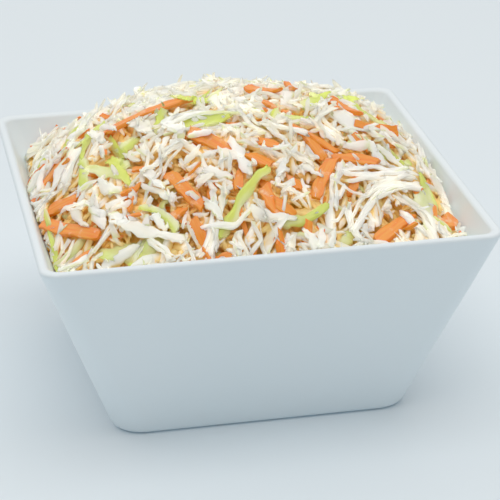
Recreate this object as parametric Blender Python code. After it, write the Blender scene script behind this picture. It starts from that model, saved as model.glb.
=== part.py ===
"""Coleslaw heaped in a small, square, flared bowl of white glazed ceramic.

Run it with: blender --background --python part.py

Two solids share one frame, in metres: +Z is up, X and Y run along the bowl's sides,
-Y is the front, and the origin lies on the table under the middle of the foot.

    bowl   a thin flared dish, lofted through rounded squares along its wall's section
    slaw   the heap of shredded cabbage and carrot, from the bowl's floor to its crown
"""

import math
import random

import bmesh
import bpy
from mathutils import Matrix, Vector

MM = 0.001

# The bowl's driving dimensions. A half is half an outside width, from the middle to a side.
RIM_HALF = 70.4 * MM
RIM_HEIGHT = 67.0 * MM
FOOT_HALF = 47.0 * MM
WALL = 3.1 * MM
FLOOR = 4.5 * MM

# Radii of the four upright corners, seen from above. They are tight at the rim, full at the foot.
RIM_CORNER = 5.5 * MM
FOOT_CORNER = 10.5 * MM
INNER_RIM_CORNER = 4.0 * MM
INNER_FOOT_CORNER = 8.5 * MM

# Radii along the wall's section, and the shallow recess that leaves a ring for a foot.
FOOT_ROUND = 3.5 * MM
LIP_OUTER_ROUND = 1.0 * MM
LIP_INNER_ROUND = 1.6 * MM
FLOOR_ROUND = 9.0 * MM
FOOT_RING = 6.0 * MM
RECESS = 1.2 * MM
RECESS_CORNER = 5.0 * MM

CORNER_STEPS = 8
ROUND_STEPS = 5

# The heap. It stands off the bowl by GAP, and its crown rises above the rim.
GAP = 0.35 * MM
CROWN = 26.0 * MM
CROWN_SHARPNESS = (3.5, 2.1)
CROWN_SHIFT = 0.05
HEAP_CELLS = 52
SIDE_RINGS = 2
HEAP_ROUND_STEPS = 3
SMALLEST_SHARE = 0.001

# How far the heap's edge lies under the rim: eight stations, an eighth of a turn apart,
# anticlockwise from above, from the middle of the right side. Every other one is a corner.
EDGE_DROP = [drop * MM for drop in (4.6, 9.5, 5.0, 7.0, 3.0, 9.0, 2.0, 9.5)]

# Broad clumps and single thick shreds that make the heap's surface uneven.
SEED = 55
CLUMPS = 26
CLUMP_RADIUS = (8.0 * MM, 14.0 * MM)
CLUMP_RISE = (-2.0 * MM, 2.0 * MM)
SHREDS = 190
SHRED_LENGTH = (14.0 * MM, 32.0 * MM)
SHRED_WIDTH = (4.5 * MM, 6.5 * MM)
SHRED_RISE = (1.2 * MM, 3.4 * MM)


def between(low, high, share):
    """The value that lies a share of the way from low to high."""
    return low + (high - low) * share


def spaced(low, high, steps):
    """Steps + 1 values, evenly spaced from low to high."""
    return [between(low, high, i / steps) for i in range(steps + 1)]


# ---------------------------------------------------------------- the wall's section
# A station is (half side, height, corner radius): one rounded square of a loft.


def inner_half(z):
    """Half the width of the bowl's inside at height z, along the straight of the wall."""
    return between(FOOT_HALF, RIM_HALF, z / RIM_HEIGHT) - WALL


def inner_corner(z):
    """Radius of the inside's upright corners at height z."""
    return between(INNER_FOOT_CORNER, INNER_RIM_CORNER, z / RIM_HEIGHT)


def rounded_station(before, at, after, radius, steps=ROUND_STEPS):
    """The stations of an arc that rounds the section at one corner.

    The arc touches both straights. Its tangent points lie radius / tan(half the corner's
    angle) from the corner, and the corner radius runs evenly from one to the other.
    """
    corner = Vector(at[:2])
    to_before = (Vector(before[:2]) - corner).normalized()
    to_after = (Vector(after[:2]) - corner).normalized()
    half_angle = to_before.angle(to_after) / 2
    reach = radius / math.tan(half_angle)
    start = corner + to_before * reach
    end = corner + to_after * reach
    centre = corner + (to_before + to_after).normalized() * (radius / math.sin(half_angle))
    start_share = reach / (Vector(before[:2]) - corner).length
    end_share = reach / (Vector(after[:2]) - corner).length
    start_corner = between(at[2], before[2], start_share)
    end_corner = between(at[2], after[2], end_share)
    arc = []
    for share in spaced(0.0, 1.0, steps):
        spoke = (start - centre).slerp(end - centre, share).normalized()
        point = centre + spoke * radius
        arc.append((point.x, point.y, between(start_corner, end_corner, share)))
    return arc


def bowl_stations():
    """The bowl's section, from the middle of the underside round the lip to the floor."""
    foot_inner = FOOT_HALF - FOOT_RING
    recess = (foot_inner, RECESS, RECESS_CORNER)
    ring = (foot_inner, 0.0, RECESS_CORNER)
    foot = (FOOT_HALF, 0.0, FOOT_CORNER)
    rim = (RIM_HALF, RIM_HEIGHT, RIM_CORNER)
    mouth = (RIM_HALF - WALL, RIM_HEIGHT, INNER_RIM_CORNER)
    basin = (inner_half(FLOOR), FLOOR, inner_corner(FLOOR))
    middle = (0.0, FLOOR, 0.0)
    return (
        [recess, ring]
        + rounded_station(ring, foot, rim, FOOT_ROUND)
        + rounded_station(foot, rim, mouth, LIP_OUTER_ROUND)
        + rounded_station(rim, mouth, basin, LIP_INNER_ROUND)
        + rounded_station(mouth, basin, middle, FLOOR_ROUND)
    )


def rounded_square(half, corner, z):
    """The points of a rounded square, anticlockwise from above, from the right side's front end."""
    points = []
    for quarter in range(4):
        turn = math.pi / 2 * quarter
        centre = Matrix.Rotation(turn, 3, "Z") @ Vector((half - corner, half - corner, z))
        for angle in spaced(turn, turn + math.pi / 2, CORNER_STEPS):
            points.append(centre + Vector((math.cos(angle), math.sin(angle), 0.0)) * corner)
    return points


def bowl_mesh():
    """Lofts the bowl: a rounded square at each station, joined to the next, and closed at both ends."""
    bm = bmesh.new()
    rings = []
    for half, z, corner in bowl_stations():
        rings.append([bm.verts.new(point) for point in rounded_square(half, corner, z)])
    for lower, upper in zip(rings, rings[1:]):
        for i in range(len(lower)):
            j = (i + 1) % len(lower)
            bm.faces.new((lower[i], lower[j], upper[j], upper[i]))
    bm.faces.new(rings[0])
    bm.faces.new(rings[-1])
    return finished(bm, "bowl")


# ---------------------------------------------------------------- the heap


def edge_drop(u, v):
    """How far the heap's edge lies under the rim, in the direction of (u, v).

    It eases from one station to the next along a cosine, so it has no crease at a corner.
    """
    turn = math.atan2(v, u) / math.tau * len(EDGE_DROP)
    station = math.floor(turn)
    ease = 0.5 - 0.5 * math.cos(math.pi * (turn - station))
    return between(EDGE_DROP[station], EDGE_DROP[(station + 1) % len(EDGE_DROP)], ease)


def square_point(u, v, half, corner):
    """Where the edge point (u, v) of the unit square lies on a rounded square's outline."""
    straight = 1.0 - corner / half
    along = min(abs(u), abs(v))
    if along <= straight:
        return Vector((u * half, v * half))
    angle = math.pi / 4 * (along - straight) / (1.0 - straight)
    near, far = corner * math.sin(angle), corner * math.cos(angle)
    reach = Vector((far, near)) if abs(u) >= abs(v) else Vector((near, far))
    reach += Vector((half - corner, half - corner))
    return Vector((math.copysign(reach.x, u), math.copysign(reach.y, v)))


def wall_point(u, v, z):
    """The heap's side at height z, a GAP clear of the bowl's wall."""
    x, y = square_point(u, v, inner_half(z) - GAP, inner_corner(z))
    return Vector((x, y, z))


def seeded_bumps():
    """Clumps and shreds of the heap's surface: (centre, direction, half length, half width, rise)."""
    chance = random.Random(SEED)
    reach = RIM_HALF - WALL
    sideways = Vector((1.0, 0.0))
    bumps = {"clumps": [], "shreds": []}
    for _ in range(CLUMPS):
        centre = Vector((chance.uniform(-reach, reach), chance.uniform(-reach, reach)))
        radius = chance.uniform(*CLUMP_RADIUS)
        bumps["clumps"].append((centre, sideways, radius, radius, chance.uniform(*CLUMP_RISE)))
    for _ in range(SHREDS):
        centre = Vector((chance.uniform(-reach, reach), chance.uniform(-reach, reach)))
        angle = chance.uniform(0.0, math.pi)
        length, width = chance.uniform(*SHRED_LENGTH), chance.uniform(*SHRED_WIDTH)
        along = Vector((math.cos(angle), math.sin(angle)))
        bumps["shreds"].append((centre, along, length / 2, width / 2, chance.uniform(*SHRED_RISE)))
    return bumps


def bump_height(bump, point):
    """A bump's rise at a point: full at its centre line, and nothing past twice its half sizes."""
    centre, along, half_length, half_width, rise = bump
    offset = point - centre
    lengthwise = offset.dot(along) / half_length
    crosswise = offset.dot(Vector((-along.y, along.x))) / half_width
    distance = math.hypot(lengthwise, crosswise)
    return rise * math.exp(-(distance**2)) if distance < 2.0 else 0.0


def crown_height(u, v):
    """The heap's smooth dome: full in the middle, level with its edge along all four sides."""
    sharp_x, sharp_y = CROWN_SHARPNESS
    shifted = (v - CROWN_SHIFT) / (1.0 - math.copysign(CROWN_SHIFT, v - CROWN_SHIFT))
    return CROWN * (1.0 - abs(u) ** sharp_x) * (1.0 - abs(shifted) ** sharp_y)


def heap_point(u, v, bumps):
    """The heap's surface over the point (u, v) of a square that runs from -1 to 1 both ways.

    The lift 1 - (1 - u^2)(1 - v^2) is 0 in the middle and 1 all along the square's edge,
    where it takes the whole of the edge's drop.
    """
    share = max(abs(u), abs(v), SMALLEST_SHARE)
    drop = edge_drop(u, v)
    edge = wall_point(u / share, v / share, RIM_HEIGHT - drop)
    plan = Vector((edge.x, edge.y)) * share
    lift = 1.0 - (1.0 - u * u) * (1.0 - v * v)
    clumps = sum(bump_height(bump, plan) for bump in bumps["clumps"])
    shreds = max(bump_height(bump, plan) for bump in bumps["shreds"])
    fade = 1.0 - share**6
    z = RIM_HEIGHT - drop * lift + crown_height(u, v) + (clumps + shreds) * fade
    return Vector((plan.x, plan.y, z))


def boundary_loop(bm):
    """The open boundary's vertices in order, with each one's place on the unit square."""
    grid = bm.verts.layers.float_vector["grid"]
    edges = [e for e in bm.edges if e.is_boundary]
    start = edges[0].verts[0]
    loop, last = [start], None
    while True:
        step = next(e for e in loop[-1].link_edges if e.is_boundary and e is not last)
        last = step
        following = step.other_vert(loop[-1])
        if following is start:
            return [(v, v[grid].x, v[grid].y) for v in loop]
        loop.append(following)


def heap_stations():
    """Stations of the heap's rounded lower edge, from the wall down to the floor."""
    floor = FLOOR + GAP
    top = (inner_half(RIM_HEIGHT) - GAP, RIM_HEIGHT, inner_corner(RIM_HEIGHT))
    basin = (inner_half(floor) - GAP, floor, inner_corner(floor))
    middle = (0.0, floor, 0.0)
    return rounded_station(top, basin, middle, FLOOR_ROUND, HEAP_ROUND_STEPS)


def slaw_mesh():
    """The heap: an uneven top over a square grid, sides that follow the bowl, and a flat base."""
    bm = bmesh.new()
    bmesh.ops.create_grid(bm, x_segments=HEAP_CELLS, y_segments=HEAP_CELLS, size=1.0)
    grid = bm.verts.layers.float_vector.new("grid")
    bumps = seeded_bumps()
    for vert in bm.verts:
        vert[grid] = vert.co.copy()
        vert.co = heap_point(vert.co.x, vert.co.y, bumps)

    loop = boundary_loop(bm)
    lower = heap_stations()
    rings = [[v for v, _, _ in loop]]
    for share in spaced(0.0, 1.0, SIDE_RINGS)[1:-1]:
        ring = []
        for vert, u, v in loop:
            ring.append(bm.verts.new(wall_point(u, v, between(vert.co.z, lower[0][1], share))))
        rings.append(ring)
    for half, z, corner in lower:
        ring = []
        for _, u, v in loop:
            x, y = square_point(u, v, half, corner)
            ring.append(bm.verts.new((x, y, z)))
        rings.append(ring)
    for upper, below in zip(rings, rings[1:]):
        for i in range(len(upper)):
            j = (i + 1) % len(upper)
            bm.faces.new((upper[i], upper[j], below[j], below[i]))
    bm.faces.new(rings[-1])
    return finished(bm, "slaw")


# ---------------------------------------------------------------- objects and materials


def finished(bm, name):
    """Turns the faces outwards and makes the mesh."""
    bmesh.ops.recalc_face_normals(bm, faces=bm.faces)
    mesh = bpy.data.meshes.new(name)
    bm.to_mesh(mesh)
    bm.free()
    mesh.shade_smooth()
    mesh.set_sharp_from_angle(angle=math.radians(35))
    return mesh


def material(name, colour, roughness):
    """A plain Principled material."""
    made = bpy.data.materials.new(name)
    made.use_nodes = True
    shader = made.node_tree.nodes["Principled BSDF"]
    shader.inputs["Base Color"].default_value = (*colour, 1.0)
    shader.inputs["Roughness"].default_value = roughness
    shader.inputs["Metallic"].default_value = 0.0
    return made


def placed(name, mesh, finish, collection):
    """One named object with its material, in the part's collection."""
    made = bpy.data.objects.new(name, mesh)
    made.data.materials.append(finish)
    collection.objects.link(made)
    return made


def main():
    for leftover in list(bpy.data.objects):
        bpy.data.objects.remove(leftover)
    collection = bpy.data.collections.new("coleslaw")
    bpy.context.scene.collection.children.link(collection)
    placed("bowl", bowl_mesh(), material("white_glaze", (0.86, 0.88, 0.89), 0.3), collection)
    placed("slaw", slaw_mesh(), material("dressed_cabbage", (0.86, 0.82, 0.66), 0.45), collection)


main()
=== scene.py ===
# %% [markdown]
# # Coleslaw in a square bowl
#
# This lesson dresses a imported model: a flared white bowl and one plain solid for the salad in it.
# The bowl is made again with a finer surface. The salad becomes what it is, some thousands of
# loose shreds of cabbage, leaf and carrot that are laid one on another over a smaller core.
# Lengths are in metres, and MM turns millimetres into them.

# %% Loading the frame
import math

import bpy
import numpy as np
from mathutils import Matrix, Vector
from mathutils.bvhtree import BVHTree


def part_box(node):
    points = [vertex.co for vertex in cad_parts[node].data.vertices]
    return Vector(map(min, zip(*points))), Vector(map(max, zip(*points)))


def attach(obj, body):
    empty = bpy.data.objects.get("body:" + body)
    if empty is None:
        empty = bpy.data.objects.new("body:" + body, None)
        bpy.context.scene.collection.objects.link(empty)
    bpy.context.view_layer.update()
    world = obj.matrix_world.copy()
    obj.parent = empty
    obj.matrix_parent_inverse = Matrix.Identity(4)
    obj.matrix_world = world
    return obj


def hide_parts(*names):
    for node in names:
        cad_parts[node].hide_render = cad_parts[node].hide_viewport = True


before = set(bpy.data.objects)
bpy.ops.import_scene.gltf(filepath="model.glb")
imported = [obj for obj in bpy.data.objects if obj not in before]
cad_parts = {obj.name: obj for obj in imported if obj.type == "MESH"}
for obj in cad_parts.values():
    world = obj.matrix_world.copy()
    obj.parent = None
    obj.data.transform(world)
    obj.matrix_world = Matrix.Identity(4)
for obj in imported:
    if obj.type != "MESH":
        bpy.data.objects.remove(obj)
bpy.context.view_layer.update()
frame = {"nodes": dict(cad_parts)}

MM = 0.001
chance = np.random.default_rng(2024)
print("nodes:", ", ".join(frame["nodes"]))

# %% [markdown]
# ## The room inside the bowl
#
# The real dish is slip cast: four flat walls that lean outwards, joined by rounded corners. Every
# shred has to stay inside those walls, so the walls come first, as two small functions of height.
# The overall sizes are read from the frame, so this script can't drift away from the model.

# %% Sizes of the bowl
bowl_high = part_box("bowl")[1]

RIM_Z = bowl_high.z
# What the rounding of the lip takes off the sharp outer corner of its section.
LIP_TRIM = 0.41 * MM
RIM_HALF = bowl_high.x + LIP_TRIM
FOOT_HALF = 47.0 * MM
WALL = 3.1 * MM
FLOOR = 4.5 * MM


def inner_half(z):
    """Half the width between the walls at height z: a straight line from foot to rim, less the wall."""
    return FOOT_HALF + (RIM_HALF - FOOT_HALF) * z / RIM_Z - WALL


def inner_corner(z):
    """Radius of the upright inner corners at height z: 8.5 mm at the foot and 4 mm at the rim."""
    return (8.5 - 4.5 * z / RIM_Z) * MM


print("rim %.1f mm wide, %.1f mm high" % (2 * bowl_high.x / MM, RIM_Z / MM))

# %% [markdown]
# ## Small helpers
#
# Every surface here is a grid of points, rows along one parameter and columns along the other.
# One helper turns such a grid into faces, closing it round its columns, and one puts it in a mesh.
# bmesh would do the same point by point, which is slow for as many shreds as there are here. Whole
# arrays handed over with foreach_set take a moment.

# %% Helpers that make meshes


def tube_faces(rows, columns):
    """Quads between neighbouring rows of a grid whose columns close into a ring."""
    row = np.arange(rows - 1)[:, None] * columns
    column = np.arange(columns)[None, :]
    after = (column + 1) % columns
    quads = np.stack([row + column, row + after, row + columns + after, row + columns + column], axis=-1)
    return quads.reshape(-1, 4)


def new_piece(name, points, faces, material, smooth=True, crease=None):
    """An object from a list of points and several face arrays, shaded smooth up to the crease angle."""
    sizes = np.concatenate([np.full(len(f), f.shape[1]) for f in faces])
    corners = np.concatenate([f.reshape(-1) for f in faces]).astype(np.int32)
    starts = np.concatenate([[0], np.cumsum(sizes)[:-1]]).astype(np.int32)
    mesh = bpy.data.meshes.new(name)
    mesh.vertices.add(len(points))
    mesh.vertices.foreach_set("co", np.ascontiguousarray(points, np.float32).reshape(-1))
    mesh.loops.add(len(corners))
    mesh.loops.foreach_set("vertex_index", corners)
    mesh.polygons.add(len(sizes))
    mesh.polygons.foreach_set("loop_start", starts)
    mesh.polygons.foreach_set("use_smooth", np.full(len(sizes), smooth))
    mesh.update(calc_edges=True)
    mesh.validate()
    if crease is not None:
        mesh.set_sharp_from_angle(angle=crease)
    mesh.materials.append(material)
    made = bpy.data.objects.new(name, mesh)
    bpy.context.scene.collection.objects.link(made)
    mesh.calc_loop_triangles()
    print("%s: %d points, %d triangles" % (name, len(points), len(mesh.loop_triangles)))
    return made


def point_values(piece, name, values, kind="FLOAT"):
    """Stores one value, or one vector, for each point, where a material can read it."""
    layer = piece.data.attributes.new(name, kind, "POINT")
    key = "value" if kind == "FLOAT" else "vector"
    layer.data.foreach_set(key, np.ascontiguousarray(values, np.float32).reshape(-1))


# %% [markdown]
# Materials are node trees. A node is made in one call that sets its inputs or links them, so that a
# finish reads from top to bottom as a recipe does. Colours are given in the steps of a screen.

# %% Helpers that make materials


def new_material(name, roughness, specular=0.5, subsurface=0.0, radius=(1.0, 1.0, 1.0), scale=0.001):
    """A Principled material, and its node tree and shader."""
    made = bpy.data.materials.new(name)
    made.use_nodes = True
    tree = made.node_tree
    shader = tree.nodes["Principled BSDF"]
    shader.subsurface_method = "BURLEY"
    shader.inputs["Roughness"].default_value = roughness
    shader.inputs["Specular IOR Level"].default_value = specular
    shader.inputs["Subsurface Weight"].default_value = subsurface
    shader.inputs["Subsurface Radius"].default_value = radius
    shader.inputs["Subsurface Scale"].default_value = scale
    return made, tree, shader


def node(tree, kind, inputs=None, **settings):
    """A shader node with its settings, and with each input set to a value or linked to a socket."""
    made = tree.nodes.new("ShaderNode" + kind)
    for key, value in settings.items():
        setattr(made, key, value)
    for key, value in (inputs or {}).items():
        if isinstance(value, bpy.types.NodeSocket):
            tree.links.new(value, made.inputs[key])
        else:
            made.inputs[key].default_value = value
    return made


def ramp(tree, factor, low, high):
    """A number that runs smoothly from 0 to 1 while factor runs from low to high."""
    made = node(tree, "MapRange", {"Value": factor, "From Min": low, "From Max": high},
                interpolation_type="SMOOTHSTEP")
    return made.outputs["Result"]


def mixed(tree, factor, first, second, blend="MIX"):
    """The colour between first and second, by factor."""
    made = tree.nodes.new("ShaderNodeMix")
    made.data_type = "RGBA"
    made.blend_type = blend
    # Inputs 6 and 7 are the two colours. Their names are shared with inputs of other types.
    for key, value in (("Factor", factor), (6, first), (7, second)):
        socket = made.inputs[key]
        if isinstance(value, bpy.types.NodeSocket):
            tree.links.new(value, socket)
        else:
            socket.default_value = value
    return made.outputs[2]


def colour(red, green, blue):
    """A colour given in the 0 to 255 steps of a screen, turned into linear light."""
    share = np.array([red, green, blue]) / 255.0
    linear = np.where(share <= 0.04045, share / 12.92, ((share + 0.055) / 1.055) ** 2.4)
    return (*linear.tolist(), 1.0)


# %% [markdown]
# ## The bowl's surface
#
# A section through the wall is a list of straight runs with rounded corners between them. Carried
# round a square with rounded corners, it gives the whole dish. The same section is in the model,
# with fewer steps. Here the steps are fine, and a slow wave of a tenth of a millimetre stands for
# the slight warp that a thin ceramic wall takes on in the kiln.

# %% Straights and rounded corners of a section


def arc(before, at, after, radius, steps):
    """Rounds one corner of a section: points of a circle that touches both straights.

    It touches them radius / tan(half the corner's angle) from the corner. A point is
    (half width, height, corner radius), and the corner radius runs evenly along the arc.
    """
    before, at, after = (np.array(p, float) for p in (before, at, after))
    ahead, behind = after[:2] - at[:2], before[:2] - at[:2]
    lengths = np.linalg.norm(behind), np.linalg.norm(ahead)
    behind, ahead = behind / lengths[0], ahead / lengths[1]
    half_angle = math.acos(float(behind @ ahead)) / 2
    reach = radius / math.tan(half_angle)
    centre = at[:2] + (behind + ahead) / np.linalg.norm(behind + ahead) * radius / math.sin(half_angle)
    start, end = at[:2] + behind * reach - centre, at[:2] + ahead * reach - centre
    share = np.linspace(0.0, 1.0, steps + 1)[:, None]
    sweep = math.pi - 2 * half_angle
    spokes = (np.sin((1 - share) * sweep) * start + np.sin(share * sweep) * end) / math.sin(sweep)
    corner = [at[2] + (far[2] - at[2]) * reach / length for far, length in zip((before, after), lengths)]
    return np.hstack([centre + spokes, corner[0] + (corner[1] - corner[0]) * share])


def run(first, last, steps):
    """Points between two stations, closer together near both ends, without the ends."""
    share = 0.5 - 0.5 * np.cos(np.linspace(0.0, math.pi, steps + 1))[1:-1, None]
    return first + (last - first) * share


# %% Carrying a section round a square


def square_ring(stations, corner_steps, side_steps):
    """A ring of points for each station: four quarter circles, and points along the sides between them.

    A point is the corner's centre plus a spoke. On a side the spoke stands still and the centre moves
    from one corner's to the next one's.
    """
    quarter = np.linspace(0.0, math.pi / 2, corner_steps + 1)
    side = (0.5 - 0.5 * np.cos(np.linspace(0.0, math.pi, side_steps + 1)))[1:-1]
    angle = np.concatenate([quarter, np.full(len(side), math.pi / 2)])
    slide = np.concatenate([quarter * 0, side])
    half, z, corner = (stations[:, k, None] for k in range(3))
    x = (half - corner) * (1 - 2 * slide) + corner * np.cos(angle)
    y = (half - corner) + corner * np.sin(angle)
    rings = [np.stack([x, y, z + 0 * x], axis=-1)]
    for _ in range(3):
        last = rings[-1]
        rings.append(np.stack([-last[..., 1], last[..., 0], last[..., 2]], axis=-1))
    return np.concatenate(rings, axis=1)


# %% The whole bowl


def bowl_stations():
    """The section from the middle of the underside, round the foot, wall and lip, to the floor's middle."""
    foot_inner = FOOT_HALF - 6.0 * MM
    recess, ring = (foot_inner, 1.2 * MM, 5 * MM), (foot_inner, 0.0, 5 * MM)
    foot, rim = (FOOT_HALF, 0.0, 10.5 * MM), (RIM_HALF, RIM_Z, 5.5 * MM)
    mouth = (inner_half(RIM_Z), RIM_Z, inner_corner(RIM_Z))
    basin = (inner_half(FLOOR), FLOOR, inner_corner(FLOOR))
    hub, middle = (1 * MM, 1.2 * MM, 0.9 * MM), (1 * MM, FLOOR, 0.9 * MM)
    bends = [arc(hub, recess, ring, 0.6 * MM, 4), arc(recess, ring, foot, 0.5 * MM, 4),
             arc(ring, foot, rim, 3.5 * MM, 12), arc(foot, rim, mouth, 1.0 * MM, 10),
             arc(rim, mouth, basin, 1.6 * MM, 12), arc(mouth, basin, middle, 9.0 * MM, 12)]
    parts = [np.array([hub])]
    for bend in bends:
        parts += [run(parts[-1][-1], bend[0], 8), bend]
    parts += [run(parts[-1][-1], np.array(middle), 4), np.array([middle])]
    return np.concatenate(parts)


def make_bowl(material):
    """The bowl: a ring of points at each station, and a pole at both ends."""
    rings = square_ring(bowl_stations(), 14, 18)
    rows, columns = rings.shape[:2]
    x, y, z = rings[..., 0], rings[..., 1], rings[..., 2]
    out = np.stack([x, y], axis=-1) / np.maximum(np.hypot(x, y), 1e-9)[..., None]
    warp = 0.10 * np.sin(x * 55 + 1.0) * np.cos(y * 43 + 0.4) + 0.06 * np.sin(z * 160 + x * 30 + y * 21)
    rings[..., :2] += out * (warp * MM * np.clip(z / (20 * MM), 0, 1))[..., None]
    rings[..., 2] += 0.05 * MM * np.sin(x * 40 + y * 25) * np.clip(z / RIM_Z, 0, 1) ** 4
    points = np.concatenate([rings.reshape(-1, 3), [[0, 0, rings[0, 0, 2]], [0, 0, rings[-1, 0, 2]]]])
    ends = np.arange(columns)
    after, last = (ends + 1) % columns, (rows - 1) * columns
    bottom = np.stack([np.full(columns, rows * columns), after, ends], axis=-1)
    top = np.stack([np.full(columns, rows * columns + 1), last + ends, last + after], axis=-1)
    return new_piece("glazed_bowl", points, [tube_faces(rows, columns), bottom, top], material)


# %% [markdown]
# ## The glaze
#
# A white glaze is glass over white clay. It takes its colour from the clay, and its gloss from the
# glass. So it is a plain shader of middling gloss, and one slow noise varies both tone and gloss a
# little, because a perfectly even white looks like plastic. The noise reads Object coordinates.

# %% White glaze


def glaze_material():
    """White glaze: hardly any colour, a slow mottle in tone and gloss, and pinholes too small to count."""
    made, tree, shader = new_material("white_glaze", 0.34, specular=0.5)
    place = node(tree, "TexCoord").outputs["Object"]
    cloud = node(tree, "TexNoise", {"Vector": place, "Scale": 28.0, "Detail": 3.0}).outputs["Fac"]
    tone = mixed(tree, cloud, colour(225, 239, 245), colour(230, 242, 248))
    tree.links.new(tone, shader.inputs["Base Color"])
    gloss = node(tree, "MapRange", {"Value": cloud, "To Min": 0.30, "To Max": 0.38})
    tree.links.new(gloss.outputs["Result"], shader.inputs["Roughness"])
    grain = node(tree, "TexNoise", {"Vector": place, "Scale": 900.0, "Detail": 2.0}).outputs["Fac"]
    bump = node(tree, "Bump", {"Height": grain, "Strength": 0.05, "Distance": 0.1 * MM})
    tree.links.new(bump.outputs["Normal"], shader.inputs["Normal"])
    return made


bowl = make_bowl(glaze_material())
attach(bowl, "root")
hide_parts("bowl")

# %% [markdown]
# ## A height field for the heap
#
# Thousands of shreds can't be simulated in the time there is. But a heap is nearly a landscape: seen
# from above it has one height at each place. So the heap is kept as a grid of heights half a
# millimetre apart. A shred laid on it finds the ground under its path, comes to rest on it, and
# raises the ground to its own top. What comes later lies on that. The solid in the frame gives the
# height that the finished heap should reach.

# %% The height field
CELL = 0.5 * MM
EDGE = 68.5 * MM
CELLS = int(round(2 * EDGE / CELL)) + 1
axis = np.linspace(-EDGE, EDGE, CELLS)


def sample(field, x, y):
    """The field's height at places between its grid points, by bilinear mixing."""
    column = np.clip((x + EDGE) / CELL, 0, CELLS - 1.001)
    row = np.clip((y + EDGE) / CELL, 0, CELLS - 1.001)
    i, j = column.astype(int), row.astype(int)
    a, b = column - i, row - j
    near = field[i, j] * (1 - a) + field[i + 1, j] * a
    far = field[i, j + 1] * (1 - a) + field[i + 1, j + 1] * a
    return near * (1 - b) + far * b


def blurred(field, reach):
    """The field smoothed by a bell curve of that reach, first along one axis and then the other."""
    margin = int(3 * reach / CELL)
    weights = np.exp(-0.5 * (np.arange(-margin, margin + 1) * CELL / reach) ** 2)
    weights /= weights.sum()
    for _ in range(2):
        padded = np.pad(field, ((margin, margin), (0, 0)), mode="edge")
        field = sum(w * padded[k:k + len(field)] for k, w in enumerate(weights)).T
    return field


def solid_top(name, pitch):
    """Heights of a solid's upper side, felt from above on a coarse grid and mixed onto the fine one.

    A place outside the solid is drawn in towards the middle until the ray meets the solid.
    """
    solid = BVHTree.FromObject(frame["nodes"][name], bpy.context.evaluated_depsgraph_get())
    count = int(round(2 * EDGE / pitch)) + 1
    places = np.linspace(-EDGE, EDGE, count)
    felt = np.zeros((count, count))
    for i, x in enumerate(places):
        for j, y in enumerate(places):
            hit, inward = None, 1.0
            while hit is None:
                hit = solid.ray_cast(Vector((x * inward, y * inward, 0.2)), Vector((0, 0, -1)))[0]
                inward -= 0.01
            felt[i, j] = hit.z
    along = np.array([np.interp(axis, places, row) for row in felt])
    return np.array([np.interp(axis, places, column) for column in along.T]).T


# %% [markdown]
# A heap of loose things has small hollows where a strip bridges a gap, and bumps where two cross.
# The solid is smooth, so they are put in here as bell curves. The first four are broad dips behind
# the crest, and a few more make a trench along the left wall.
# Laying starts on a ground 7.5 mm below that surface, and the shreds fill what lies between.

# %% The heap's surface
CORE_DEPTH = 7.5 * MM
target = solid_top("slaw", 2.0 * MM)
# Where each one is, its reach and its depth, in millimetres. A depth below 0 makes a small bump.
HOLLOWS = [
    (-38, 22, 12, 3.2), (-16, 22, 11, 2.4), (8, 20, 11, 2.2), (30, 16, 8, 1.4),
    (-33, 20, 3, -2.4), (4, 18, 4, -1.8), (19, 16, 3, -1.2), (11, 20, 4, 2.4), (29, 17, 6, 4.2),
    (-34, 24, 4, 2.0), (-63, 46, 8, 13.0), (-67, 56, 7, 10.0), (-69, 36, 8, 10.0), (-56, -58, 6, 4.0),
    (-68, 20, 6, 6.0), (-60, -43, 6, 5.0), (-46, -62, 5, 1.5), (-34, -22, 4, 2.0), (-15, -32, 3, 2.5),
    (-8, -56, 4, 2.5), (-3, -64, 3, 3.0), (13, -52, 4, 2.5), (20, -55, 4, 2.0), (30, -52, 3, 3.0),
    (39, -51, 4, 2.5), (46, -31, 3, 2.0), (66, -36, 6, 2.0),
]


def hollow(x, y, reach, depth):
    """A dent in the heap: a bell curve of that reach and depth round a place. All are in millimetres."""
    away = (axis[:, None] - x * MM) ** 2 + (axis[None, :] - y * MM) ** 2
    return depth * MM * np.exp(-away / (2 * (reach * MM) ** 2))


target -= sum(hollow(*one) for one in HOLLOWS)
ground = target - CORE_DEPTH
soft = ground.copy()
taken = np.zeros(target.shape, bool)
print("heap: crown %.1f mm, lowest edge %.1f mm" % (target.max() / MM, target.min() / MM))

# %% [markdown]
# ## How a shred comes to rest
#
# A stiff stick tips until it touches the ground on both sides of its middle. A limp one also
# droops beyond and between the points that hold it. Both are covered by two steps: find the slope
# of the stick, then let the shred sag from every point of the ground under it, no tighter than the
# bend that its thickness allows.

# %% Laying one shred
# A shred feels the ground under both edges and its middle. Its top raises the ground in FINER steps
# from one station to the next. It keeps WALL_GAP away from the wall, and is never steeper along than
# STEEPEST nor across than STEEPEST_ROLL. MOST_HIDING is the largest share of it that may lie on
# pieces that have to stay in view.
LANES = np.array([-1.0, 0.0, 1.0])
FINER = 6
WALL_GAP = 0.8 * MM
STEEPEST, STEEPEST_ROLL = 1.2, 0.9
MOST_HIDING = 0.08


def stations_of(count):
    """Places along a shred from -1 to 1, closer together towards both ends, where its outline turns."""
    return np.sin(np.linspace(-math.pi / 2, math.pi / 2, count))


def resting_slope(profile, places):
    """Slope of a stiff stick on uneven ground.

    Among all pairs of places, one on each side of the middle, it touches the pair
    whose joining line holds the middle highest.
    """
    left, right = places < 0, places > 0
    low, high = places[left][:, None], places[right][None, :]
    before, after = profile[left][:, None], profile[right][None, :]
    middle = (before * high - after * low) / (high - low)
    i, j = np.unravel_index(middle.argmax(), middle.shape)
    return (after[0, j] - before[i, 0]) / (high[0, j] - low[i, 0])


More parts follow.
